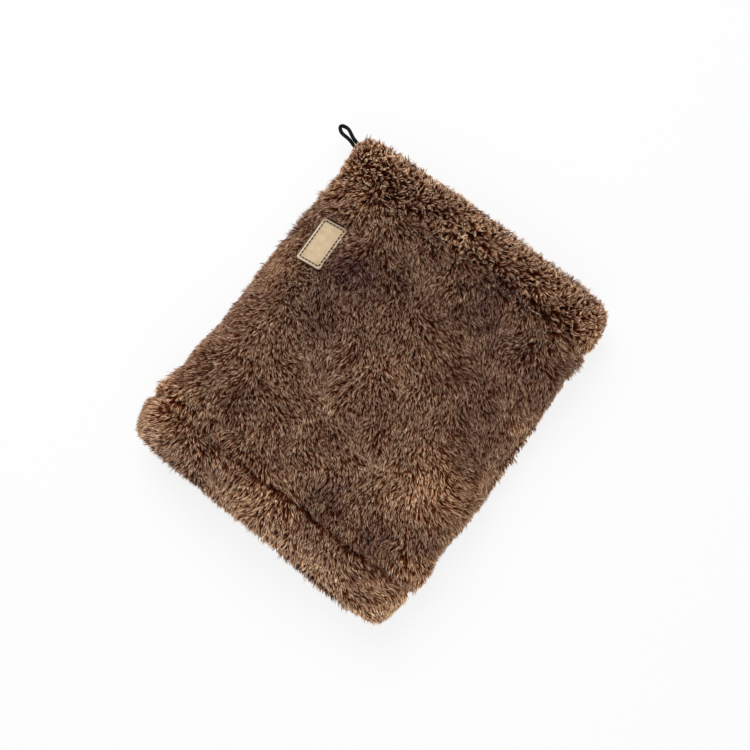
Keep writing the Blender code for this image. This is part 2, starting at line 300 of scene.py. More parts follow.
def addStitches(name, path, up, look, material):
    # separate sewn stitches along a path, each one bowed up out of the cloth
    steps = 2000
    dense, length = evenly(path, steps)
    ups = evenly(np.asarray(up), steps)[0] if np.ndim(up) == 2 else np.tile(np.asarray(up, float), (steps, 1))
    total = max(1, round(length / look["pitch"]))
    bend = np.array([-0.9, 0.35, 0.8, 0.8, 0.35, -0.9]) * look["radius"]
    taper = np.array([0.6, 0.95, 1.0, 1.0, 0.95, 0.6]) * look["radius"]
    shapes = []
    for i in range(total):
        places = (i + 0.5 + np.linspace(-0.5, 0.5, 6) * look["share"]) / total * (steps - 1)
        low = places.astype(int)
        part = (places - low)[:, None]
        high = np.minimum(low + 1, steps - 1)
        centre = dense[low] * (1 - part) + dense[high] * part + ups[low] * bend[:, None]
        shapes.append(tubeShape(centre, np.tile(taper[:, None], (1, 6)), 6))
    points, faces = joinShapes(shapes)
    return addMesh(name, points, faces, material)


def dress(pieces, body, slotName, *nodes):
    for piece in pieces:
        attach(piece, body)
        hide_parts(*nodes)


# surface effects that several materials share

def addNode(tree, kind, values=None, **settings):
    node = tree.nodes.new("ShaderNode" + kind)
    for key, value in settings.items():
        setattr(node, key, value)
    for key, value in (values or {}).items():
        node.inputs[key].default_value = value
    return node


def joinNodes(tree, *links):
    for start, output, end, entry in links:
        tree.links.new(start.outputs[output], end.inputs[entry])


def newEffect(name, textures):
    # a group that gives a shade and a height from two textures, each with its size as an input
    group = bpy.data.node_groups.new(name, "ShaderNodeTree")
    for title, size, *_ in textures:
        group.interface.new_socket(title, in_out="INPUT", socket_type="NodeSocketFloat").default_value = size
    for title in ("Shade", "Height"):
        group.interface.new_socket(title, in_out="OUTPUT", socket_type="NodeSocketFloat")
    given = group.nodes.new("NodeGroupInput")
    made = group.nodes.new("NodeGroupOutput")
    place = addNode(group, "TexCoord")
    nodes = []
    for title, _, kind, values, settings in textures:
        node = addNode(group, kind, values, **settings)
        joinNodes(group, (place, "Object", node, "Vector"), (given, title, node, "Scale"))
        nodes.append(node)
    return group, made, *nodes


def clothNap():
    # soft blotches of shade and a fine fibrous height
    group, made, blotch, fibre = newEffect("clothNap", (
        ("Blotch", 60.0, "TexNoise", {"Detail": 5.0, "Roughness": 0.65}, {}),
        ("Fibre", 900.0, "TexNoise", {"Detail": 4.0, "Distortion": 0.6}, {}),
    ))
    blend = addNode(group, "Math", {1: 0.45}, operation="MULTIPLY_ADD")
    lower = addNode(group, "Math", {1: 0.55}, operation="MULTIPLY")
    joinNodes(group, (blotch, "Fac", lower, 0), (fibre, "Fac", blend, 0), (lower, "Value", blend, 2))
    joinNodes(group, (blend, "Value", made, "Shade"), (fibre, "Fac", made, "Height"))
    return group


def hideGrain():
    # pebbled leather: small rounded cells, with wider blotches of tan
    group, made, pebble, blotch = newEffect("hideGrain", (
        ("Pebble", 1500.0, "TexVoronoi", {"Smoothness": 0.6}, {"feature": "SMOOTH_F1"}),
        ("Blotch", 130.0, "TexNoise", {"Detail": 6.0, "Roughness": 0.7}, {}),
    ))
    joinNodes(group, (blotch, "Fac", made, "Shade"), (pebble, "Distance", made, "Height"))
    return group


def yarnTwist():
    # the slanting ribs of twisted or woven yarn
    group, made, ribs, blotch = newEffect("yarnTwist", (
        ("Ribs", 500.0, "TexWave", {"Distortion": 1.2, "Detail": 2.0}, {"bands_direction": "DIAGONAL"}),
        ("Blotch", 200.0, "TexNoise", {"Detail": 4.0}, {}),
    ))
    joinNodes(group, (blotch, "Fac", made, "Shade"), (ribs, "Fac", made, "Height"))
    return group


effects = {"nap": clothNap(), "hide": hideGrain(), "twist": yarnTwist()}

finishes = {  # dark and light colour, effect and its sizes, bump in metres, roughness from and to, specular
    "fleeceBacking": ((.016, .0045, .0014), (.030, .009, .0032), "nap", (80, 900), .0004, .90, 1.0, .05),
    "liningFleece": ((.070, .037, .023), (.150, .085, .055), "nap", (120, 1400), .0007, .85, 1.0, .05),
    "whiteWadding": ((.600, .585, .550), (.820, .810, .780), "nap", (90, 700), .0008, .90, 1.0, .10),
    "seamCloth": ((.070, .038, .025), (.130, .075, .052), "twist", (420, 150), .0003, .80, .95, .10),
    "brownThread": ((.010, .004, .002), (.028, .012, .0065), "twist", (900, 300), .0002, .65, .85, .10),
    "tanLeather": ((.460, .325, .186), (.620, .472, .300), "hide", (1500, 130), .00022, .48, .66, .40),
    "blackCord": ((.0012, .0012, .0014), (.006, .006, .0066), "twist", (800, 400), .0002, .70, .90, .10),
    "brownTape": ((.040, .020, .012), (.090, .050, .033), "twist", (700, 200), .0002, .60, .80, .20),
    "packPaper": ((.640, .615, .570), (.800, .785, .750), "nap", (180, 1600), .0003, .75, .95, .15),
}


def newMaterial(name, colour, roughness, specular):
    material = bpy.data.materials.new(name)
    material.use_nodes = True
    shader = material.node_tree.nodes["Principled BSDF"]
    shader.inputs["Base Color"].default_value = (*colour, 1.0)
    shader.inputs["Roughness"].default_value = roughness
    shader.inputs["Specular IOR Level"].default_value = specular
    return material, material.node_tree, shader


def finishMaterial(name):
    dark, light, effect, sizes, bumpHeight, smoothest, roughest, specular = finishes[name]
    material, tree, shader = newMaterial(name, light, roughest, specular)
    group = addNode(tree, "Group", node_tree=effects[effect])
    for socket, size in zip(group.inputs, sizes):
        socket.default_value = size
    ramp = addNode(tree, "ValToRGB")
    for stop, place, colour in zip(ramp.color_ramp.elements, (0.3, 0.72), (dark, light)):
        stop.position = place
        stop.color = (*colour, 1)
    gloss = addNode(tree, "MapRange", {"To Min": roughest, "To Max": smoothest})
    bump = addNode(tree, "Bump", {"Strength": 0.6, "Distance": bumpHeight})
    joinNodes(tree, (group, "Shade", ramp, "Fac"), (ramp, "Color", shader, "Base Color"))
    joinNodes(tree, (group, "Shade", gloss, "Value"), (gloss, "Result", shader, "Roughness"))
    joinNodes(tree, (group, "Height", bump, "Height"), (bump, "Normal", shader, "Normal"))
    return material


# the pile's colours from root to tip: the near-black root and low part add painted shade deep in the pile to
# the fleece's darker base
pileTones = {
    "root": (0.010, 0.0016, 0.0003),
    "low": (0.064, 0.0090, 0.0018),
    "lowPlace": 0.52,
    "middle": (0.505, 0.2720, 0.1720),
    "middlePlace": 0.78,
    "tip": (0.960, 0.7150, 0.5500),
    "darkest": (0.270, 0.190, 0.410),
    "range": (2.60, 3.14, 2.58),
}


def pileMaterial():
    # each strand goes from a dark root to a pale tip, partly the pile's own colour and partly painted shade
    # deep between the strands, and is darker or lighter as a whole
    material, tree, shader = newMaterial("brownPile", pileTones["middle"], 0.85, 0.05)
    along = addNode(tree, "Attribute", attribute_name="along")
    tone = addNode(tree, "Attribute", attribute_name="tone")
    ramp = addNode(tree, "ValToRGB")
    stops = ramp.color_ramp.elements
    stops[0].color = (*pileTones["root"], 1)
    stops[1].color = (*pileTones["tip"], 1)
    for key in ("low", "middle"):
        stops.new(pileTones[key + "Place"]).color = (*pileTones[key], 1)
    levels = {1: pileTones["range"], 2: pileTones["darkest"]}
    level = addNode(tree, "VectorMath", levels, operation="MULTIPLY_ADD")
    scale = addNode(tree, "VectorMath", operation="MULTIPLY")
    joinNodes(tree, (along, "Fac", ramp, "Fac"), (tone, "Fac", level, 0))
    joinNodes(tree, (ramp, "Color", scale, 0), (level, "Vector", scale, 1))
    joinNodes(tree, (scale, "Vector", shader, "Base Color"))
    return material


def paleEdge(material):
    # the cut edge of leather is paler than its face
    tree = material.node_tree
    shader = tree.nodes["Principled BSDF"]
    face = shader.inputs["Base Color"].links[0].from_socket
    edge = addNode(tree, "Attribute", attribute_name="edge")
    blend = addNode(tree, "MixRGB", {"Color2": (0.640, 0.5250, 0.4100, 1)})
    tree.links.new(face, blend.inputs["Color1"])
    joinNodes(tree, (edge, "Fac", blend, "Fac"), (blend, "Color", shader, "Base Color"))


brownPile = pileMaterial()
materials = {name: finishMaterial(name) for name in finishes}
paleEdge(materials["tanLeather"])
print("materials done")

# the backing cloth that carries the pile

cloth = {
    "pile": 0.0065,        # height of the outer pile over its backing
    "facingPile": 0.0035,  # height of the pile that is turned in at the mouths
    "backing": 0.0007,
    "uneven": 0.0008,
    "hemDraw": 0.0012,     # how far the hem stitching draws the backing in
    "hemReach": 0.0060,
    "rows": 150,
    "columns": 64,
    "slack": 0.035,        # spare cloth, which rumples when it is sewn in
    "pressure": 1.2,
    "frames": 20,
    "mostMove": 0.0040,
    "pressed": 0.85,       # the pile's height where the muff lies on it, and at its lips
}
clothSettings = {
    "quality": 6,
    "mass": 0.25,
    "tension_stiffness": 20,
    "compression_stiffness": 20,
    "shear_stiffness": 8,
    "bending_stiffness": 1.5,
    "shrink_min": -cloth["slack"],
    "use_pressure": True,
    "uniform_pressure_force": cloth["pressure"],
    "vertex_group_mass": "sewn",
}
puff = waves(11, 7, 0.070)
dimple = waves(12, 9, 0.028)


def hemDraw(fromHem):
    return cloth["hemDraw"] * bell(fromHem, cloth["hemReach"])


def bodyCloth():
    # the body's backing as a tube between the hems, sewn in with some slack and puffed out by its filling
    s = np.linspace(0, girth, cloth["rows"], endpoint=False)
    x = np.linspace(-hemX, hemX, cloth["columns"])
    ss, xx = np.meshgrid(s, x, indexing="ij")
    start = wallPoint(ss, xx, cloth["pile"] + hemDraw(hemX - np.abs(xx)))
    tube = addMesh("bodyCloth", start, gridFaces(len(s), len(x), wrapRows=True))
    pins = tube.vertex_groups.new(name="sewn")
    for i in range(len(s)):
        for j in (0, len(x) - 1):
            pins.add([i * len(x) + j], 1.0, "REPLACE")
    cloths = tube.modifiers.new("cloth", "CLOTH")
    for key, value in clothSettings.items():
        setattr(cloths.settings, key, value)
    cloths.settings.effector_weights.gravity = 0
    cloths.point_cache.frame_end = cloth["frames"]
    for step in range(1, cloth["frames"] + 1):
        bpy.context.scene.frame_set(step)
    ready = tube.evaluated_get(bpy.context.evaluated_depsgraph_get())
    moved = np.empty(start.size)
    ready.data.vertices.foreach_get("co", moved)
    moved = moved.reshape(start.shape) - start
    bpy.context.scene.frame_set(1)
    bpy.data.objects.remove(tube, do_unlink=True)
    far = np.linalg.norm(moved, axis=2, keepdims=True)
    millimetres = far * 1000
    print("body cloth moved", round(millimetres.mean(), 2), "mm,", round(millimetres.max(), 2), "at most")
    moved *= np.minimum(1.0, cloth["mostMove"] / np.maximum(far, 1e-9))
    puffed = start + moved
    puffed[..., 2] = np.maximum(puffed[..., 2], cloth["pile"] * cloth["pressed"])
    return puffed


bodyGrid = bodyCloth()


def bodySkin(s, x):
    # the backing's surface at any place, between the points of the puffed grid
    rows, columns = bodyGrid.shape[:2]
    a = np.mod(s, girth) / girth * rows
    b = share((x + hemX) / (2 * hemX)) * (columns - 1)
    i = np.minimum(a.astype(int), rows - 1)
    j = np.minimum(b.astype(int), columns - 2)
    u = (a - i)[..., None]
    v = (b - j)[..., None]
    k = (i + 1) % rows
    here = bodyGrid[i, j] * (1 - v) + bodyGrid[i, j + 1] * v
    there = bodyGrid[k, j] * (1 - v) + bodyGrid[k, j + 1] * v
    past = (x - np.clip(x, -hemX, hemX))[..., None] * np.array([1.0, 0.0, 0.0])
    return here * (1 - u) + there * u + past


outerSkin = cloth["pile"]
innerSkin = wall - cloth["facingPile"]
lipRadius = (innerSkin - outerSkin) / 2
lipStart = cuffDepth - cloth["pile"] * cloth["pressed"] - lipRadius
lipRun = math.pi * lipRadius
cuffRun = 2 * lipStart + lipRun


def cuffProfile(p):
    # distance from the stitch line and depth, at distance p along the folded hem from outside to inside
    onLip = share((p - lipStart) / lipRun) * math.pi
    inside = p > lipStart + lipRun
    turning = np.where(inside, cuffRun - p, lipStart + lipRadius * np.sin(onLip))
    fromHem = np.where(p < lipStart, p, turning)
    depth = outerSkin + lipRadius * (1 - np.cos(onLip))
    return fromHem, depth + np.where(p < lipStart, hemDraw(fromHem), 0.0)


def cuffSkin(side):
    def skin(s, p):
        fromHem, depth = cuffProfile(p)
        uneven = cloth["uneven"] * (puff(s + 0.3 * side, p) + 0.5 * dimple(s, p + 0.2 * side))
        outside = share(1 - (p - lipStart) / lipRun) * share(p / 0.01)
        return wallPoint(s, side * (hemX + fromHem), depth - uneven * outside)

    return skin


def bodyPlaces(sStart, sEnd, rows, columns):
    s = np.linspace(sStart, sEnd, rows)
    x = np.linspace(-hemX + form["gap"], hemX - form["gap"], columns)
    return np.meshgrid(s, x, indexing="ij")


def inwardAt(s, x):
    _, _, ny, nz = section(s, x)
    return np.stack([np.zeros_like(ny), -ny, -nz], axis=-1)


def addBodySkin(name, sStart, sEnd):
    ss, xx = bodyPlaces(sStart, sEnd, 110, 96)
    outer = bodySkin(ss, xx)
    return addSlab(name, outer, outer + inwardAt(ss, xx) * cloth["backing"], materials["fleeceBacking"])


def addCuffSkin(name, side):
    s = np.linspace(0, girth, 200, endpoint=False)
    outside = np.linspace(0.0002, lipStart, 18)
    lip = np.linspace(lipStart, lipStart + lipRun, 9)
    inside = np.linspace(lipStart + lipRun, cuffRun - 0.0002, 12)
    p = np.concatenate([outside[:-1], lip, inside[1:]])
    ss, pp = np.meshgrid(s, p, indexing="ij")
    faces = gridFaces(len(s), len(p), wrapRows=True, wrapColumns=True)
    return addMesh(name, cuffSkin(side)(ss, pp), faces, materials["fleeceBacking"])


backings = {
    "front_shell": addBodySkin("frontBacking", upperSeam, lowerSeam),
    "back_shell": addBodySkin("backBacking", -lowFold, upperSeam),
    "left_cuff": addCuffSkin("leftCuffBacking", -1),
    "right_cuff": addCuffSkin("rightCuffBacking", 1),
}
for node, piece in backings.items():
    dress([piece], "muff", "pile_fleece", node)
print("backing done")

# where the label lies on the front

label = {
    "length": 0.040,
    "width": 0.0228,
    "flatter": 0.8,       # share of the pile's slope that it follows
    "thickness": 0.0012,
    "corner": 0.0015,
    "turn": math.radians(3.5),
    "sink": 0.0015,       # its face under the pile's outline
    "seam": 0.0022,       # the stitch line's distance from the edge
    "curl": 0.0004,       # how far the corners lift
    "edgeRound": 0.0004,
    "press": 0.0070,      # how far round it the pile gives way
    "edgeGap": 0.0004,
}
labelLow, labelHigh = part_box("label")


def frontHeight(x, y):
    turn = float(crownTurn(x))
    radius = flatHalf / math.sin(turn) + sideRadius
    return sideRadius - flatHalf / math.tan(turn) + math.sqrt(radius**2 - y**2)


def labelPlace():
    x = (labelLow.x + labelHigh.x) / 2
    y = (labelLow.y + labelHigh.y) / 2
    half = label["width"] / 2
    tilt = label["flatter"] * math.atan2(frontHeight(x, y + half) - frontHeight(x, y - half), 2 * half)
    turned = Euler((tilt, 0, 0)).to_matrix() @ Euler((0, 0, label["turn"])).to_matrix()
    height = (frontHeight(x, y + half) + frontHeight(x, y - half)) / 2
    return Matrix.Translation((x, y, height)) @ turned.to_4x4()


labelFrame = np.array(labelPlace())


def onLabel(points):
    # places in the label's own frame
    return (points - labelFrame[:3, 3]) @ labelFrame[:3, :3]


def offLabel(points):
    # and back out of it
    return points @ labelFrame[:3, :3].T + labelFrame[:3, 3]


# the pile

fur = {
    "rings": 3,
    "mostStrands": 12000,
    "gather": 0.50,        # how far a lock draws its strands together at the tip
    "ungathered": 0.40,    # how much less at the folds and mouths
    "loose": 0.0005,       # how far strands stray from their lock
    "hemPress": 0.78,      # how much shorter the pile is over the hem stitching
    "hemReach": 0.0026,
    "paintedHemShadow": (0.42, 0.30),  # painted shadow in the hem's crease: how much darker it is there, at the left hem and the right
    "underLabel": 0.42,    # share of its height that pile has under the label
    "labelHeight": 0.02,   # pile farther above or below the label than this isn't moved by it
    "stray": 0.20,         # spread of the locks' directions
    "flow": (0.55, 0.45),  # how far broad and fine waves turn them
    "shaded": 0.69,        # the share of its pale tip that a shaded strand shows, and a lit one
    "lit": 0.96,
    "shadedShare": 0.4,
    "mixed": 0.11,
    # painted light at the folds and mouths: the strands' dark roots there are lifted towards the pale tip
    "paintedRootLift": 0.30,
    "softRim": 0.30,       # how much less the strands' painted shade differs at the folds and mouths
    "lockTone": 0.05,
    "strandTone": 0.09,
    "insideTone": -0.08,
}
lookNames = ("lock", "strand", "width", "height", "lean", "curl")
lookSizes = {  # spacing of locks and strands, a strand's width, height, lean and curl
    "front": (0.0015, 0.00086, 0.00046, 0.0050, 0.0076, 0.0005),
    "back": (0.0027, 0.00155, 0.00105, 0.0054, 0.0060, 0.0008),
    "left": (0.0026, 0.00110, 0.00066, 0.0057, 0.0056, 0.0011),
    "right": (0.0017, 0.00094, 0.00052, 0.0052, 0.0080, 0.0004),
    "facing": (0.0030, 0.00190, 0.00110, 0.0032, 0.0040, 0.0007),
}
looks = {name: dict(zip(lookNames, sizes)) for name, sizes in lookSizes.items()}
brush = {  # directions in which the pile lies
    "nap": (0.62, 0.47, 0.0),
    "foldStart": 0.66,           # share of the half width at which it begins to turn over the folds
    "overFold": (0.55, 0.30),    # along X over the lower fold and the upper one
    "outAtFold": 0.9,
    "downAtFold": -0.45,
    "outAtMouth": 0.8,
    "downAtMouth": -0.2,
    "acrossLeft": 0.15,
    "acrossRight": ((-1, -0.55, -0.2, 1), (-0.5, 0, 0.45, 0.5)),  # places across the mouth and the turn there
    "turning": 0.75,             # how far it turns sideways where the left cuff's nap goes round to the mouth
    "fullLean": 0.7,
}
spread = {  # least and most of each measure from lock to lock and strand to strand
    "height": (0.82, 1.2),
    "lean": (0.5, 1.25),
    "curl": (0.3, 1.5),
    "phase": (0, 0.35),
    "strand": (0.82, 1.15),
    "width": (0.75, 1.25),
}
flowTurn = waves(21, 6, 0.085)
flowFine = waves(22, 8, 0.030)
toneWide = waves(31, 6, 0.060)
toneFine = waves(32, 9, 0.016)

tones = {  # parts of a lock's tone, from 0 dark to 1 pale
    "plain": 0.49,
    "wide": 0.07,
    "fine": 0.06,
    # rim and outline: painted highlight, the pile paler towards the muff's outline
    "rim": 0.02,
    "outline": 0.09,
    "rimStart": 0.62,  # share of the way from the middle at which the rim begins
}
paintedLightPatches = (  # painted light and shade over the front, where the pile's bulges and lie catch or lose the light: x, y, reach, change of tone
    (-0.135, -0.110, 0.025, 0.15),
    (-0.130, -0.010, 0.020, 0.25),
    (-0.130, 0.060, 0.010, 0.20),
    (-0.130, 0.115, 0.015, 0.35),
    (-0.105, -0.090, 0.010, 0.20),
    (-0.040, 0.110, 0.015, 0.25),
    (0.045, 0.085, 0.030, 0.40),
    (0.110, 0.115, 0.025, 0.40),
    (0.115, -0.110, 0.025, 0.30),
    (0.120, -0.005, 0.025, 0.25),
    (-0.090, 0.040, 0.025, -0.30),
    (-0.070, -0.020, 0.025, -0.20),
    (-0.070, 0.100, 0.020, -0.25),
    (-0.055, -0.060, 0.025, -0.30),
    (-0.020, -0.070, 0.015, -0.20),
    (0.000, -0.050, 0.020, -0.20),
    (-0.020, 0.075, 0.025, -0.20),
    (0.015, 0.095, 0.010, -0.30),
    (0.080, 0.105, 0.010, -0.30),
    (0.100, 0.080, 0.015, -0.30),
    (0.095, 0.030, 0.020, -0.20),
    (0.150, -0.070, 0.025, -0.20),
)


def rimShare(points):
    # 0 over the middle of the muff and 1 at its outline
    edge = np.maximum(np.abs(points[:, 0]) / halfLength, np.abs(points[:, 1]) / halfWidth)
    return share((edge - tones["rimStart"]) / (1 - tones["rimStart"]))


def pileTone(points):
    x, y = points[:, 0], points[:, 1]
    rim = rimShare(points)
    # painted highlight: the pile is paler towards the outline, more on the +Y side, where the light catches
    # it
    paintedSideLight = np.clip(0.65 + 0.5 * y / halfWidth, 0.2, 1.1)
    tone = tones["plain"] + tones["wide"] * toneWide(x, y) + tones["fine"] * toneFine(x, y)
    tone = tone + tones["rim"] * rim + tones["outline"] * paintedSideLight * rim**4
    up = share((points[:, 2] / sideRadius - 0.7) / 0.6)
    # painted light and shade from the patches, on the pile that faces up only
    for px, py, reach, change in paintedLightPatches:
        tone = tone + up * change * np.exp(-((x - px) ** 2 + (y - py) ** 2) / reach**2)
    return tone


def brushed(points, normal, lip, side, inside):
    # the way that the pile lies and how much: along the nap, and outwards over the folds and mouths
    count = len(points)
    y = points[:, 1] / halfWidth
    fold = share((np.abs(y) - brush["foldStart"]) / (1 - brush["foldStart"]))[:, None]
    nap = np.tile(brush["nap"], (count, 1))
    overX = np.where(y < 0, *brush["overFold"])
    over = np.stack([overX, np.sign(y) * brush["outAtFold"], np.full(count, brush["downAtFold"])], axis=1)
    way = nap * (1 - fold) + over * fold
    across = np.interp(y, *brush["acrossRight"]) if side > 0 else brush["acrossLeft"] * np.sign(y)
    outX = np.full(count, side * brush["outAtMouth"])
    outwards = np.stack([outX, across, np.full(count, brush["downAtMouth"])], axis=1)
    outwards[inside, 0] *= -1
    way = way * (1 - lip[:, None]) + outwards * lip[:, None]
    way[:, 1] += brush["turning"] * (side < 0) * 4 * lip * (1 - lip)
    way -= normal * np.sum(way * normal, axis=1, keepdims=True)
    strength = np.linalg.norm(way, axis=1)
    return way / np.maximum(strength, 1e-6)[:, None], share(strength / brush["fullLean"])


def frameOn(skin, s, u, outward):
    # the point on the skin and its outward normal; the left cuff is a mirror image
    step = 0.0006
    normal = np.cross(skin(s + step, u) - skin(s - step, u), skin(s, u + step) - skin(s, u - step))
    return skin(s, u), unit(normal) * outward


def jittered(draw, sLength, uLength, spacing):
    rows = max(1, round(sLength / spacing))
    columns = max(1, round(uLength / spacing))
    i, j = np.meshgrid(np.arange(rows), np.arange(columns), indexing="ij")
    inCell = draw.uniform(0.05, 0.95, (2, rows, columns))
    return rows, columns, (i + inCell[0]) / rows * sLength, (j + inCell[1]) / columns * uLength


def nearest(s, u, grid, sLength, uLength):
    # the index of the nearest lock, looking at the cells around each strand's own
    rows, columns, gs, gu = grid
    i0 = np.clip((s / sLength * rows).astype(int), 0, rows - 1)
    j0 = np.clip((u / uLength * columns).astype(int), 0, columns - 1)
    best = np.full(len(s), np.inf)
    index = np.zeros(len(s), int)
    for di in (-1, 0, 1):
        for dj in (-1, 0, 1):
            i = np.clip(i0 + di, 0, rows - 1)
            j = np.clip(j0 + dj, 0, columns - 1)
            far = (gs[i, j] - s) ** 2 + (gu[i, j] - u) ** 2
            closer = far < best
            best = np.where(closer, far, best)
            index = np.where(closer, i * columns + j, index)
    return index


def strandFaces(rings):
    quads = []
    for r in range(rings - 1):
        for k in range(3):
            n = (k + 1) % 3
            quads.append([r * 3 + k, r * 3 + n, r * 3 + 3 + n, r * 3 + 3 + k])
    tip = rings * 3
    tris = [[tip - 3 + k, tip - 3 + (k + 1) % 3, tip] for k in range(3)] + [[2, 1, 0]]
    return np.array(quads), np.array(tris)


def addStrands(name, path, width, tone, places):
    # closed three-sided strands along each row of path, coming to a point
    count, steps = path.shape[:2]
    rings = steps - 1
    tangent = unit(np.gradient(path, axis=1))
    sideA = unit(np.cross(tangent, np.array([0.31, 0.53, 0.79])))
    sideB = np.cross(tangent, sideA)
    points = np.empty((count, rings * 3 + 1, 3))
    for r in range(rings):
        for k in range(3):
            angle = math.tau * k / 3
            swing = np.cos(angle) * sideA[:, r] + np.sin(angle) * sideB[:, r]
            points[:, r * 3 + k] = path[:, r] + swing * width[:, r, None]
    points[:, -1] = path[:, -1]
    quads, tris = strandFaces(rings)
    perStrand = rings * 3 + 1
    shift = (np.arange(count) * perStrand)[:, None, None]
    loops = [(faces[None] + shift).reshape(count, -1) for faces in (quads, tris)]
    loops = np.concatenate(loops, axis=1).reshape(-1)
    sizes = np.tile(np.concatenate([np.full(len(quads), 4), np.full(len(tris), 3)]), count)
    starts = np.concatenate([[0], np.cumsum(sizes)[:-1]])
    mesh = bpy.data.meshes.new(name)
    mesh.vertices.add(count * perStrand)
    mesh.vertices.foreach_set("co", points.astype(np.float32).reshape(-1))
    mesh.loops.add(len(loops))
    mesh.loops.foreach_set("vertex_index", loops.astype(np.int32))
    mesh.polygons.add(len(sizes))
    mesh.polygons.foreach_set("loop_start", starts.astype(np.int32))
    mesh.polygons.foreach_set("use_smooth", np.ones(len(sizes), bool))
    mesh.update(calc_edges=True)
    tones = np.repeat(tone, perStrand)
    places = np.concatenate([np.repeat(places[:, :-1], 3, axis=1), places[:, -1:]], axis=1).reshape(-1)
    for key, values in (("tone", tones), ("along", places)):
        mesh.attributes.new(key, "FLOAT", "POINT").data.foreach_set("value", values.astype(np.float32))
    uv = np.stack([np.clip(tones, 0.01, 0.99), np.clip(places, 0.01, 0.99)], axis=1)[loops]
    mesh.uv_layers.new(name="OFBake").data.foreach_set("uv", uv.astype(np.float32).reshape(-1))
    mesh.materials.append(brownPile)
    piece = bpy.data.objects.new(name, mesh)
    bpy.context.scene.collection.objects.link(piece)
    return piece


def heldOffLabel(path):
    # strands beside the label bend along its edge, and those under it that would come through are left out
    half = np.array([label["length"], label["width"]]) / 2
    place = onLabel(path.reshape(-1, 3)).reshape(path.shape)
    into = half + label["edgeGap"] - np.abs(place[..., :2])
    above = place[..., 2] > -label["sink"] - label["thickness"] - label["edgeGap"]
    hits = (into > 0).all(axis=2) & above & (place[..., 2] < fur["labelHeight"])
    nearEnd = into[..., 0] < into[..., 1]
    for axis, chosen in ((0, nearEnd), (1, ~nearEnd)):
        push = np.where(hits & chosen, into[..., axis] * np.sign(place[:, :1, axis]), 0.0)
        path = path + push[..., None] * labelFrame[:3, axis]
    rooted = (np.abs(place[:, 0, :2]) < half).all(axis=1)
    return path, ~(rooted & hits.any(axis=1))


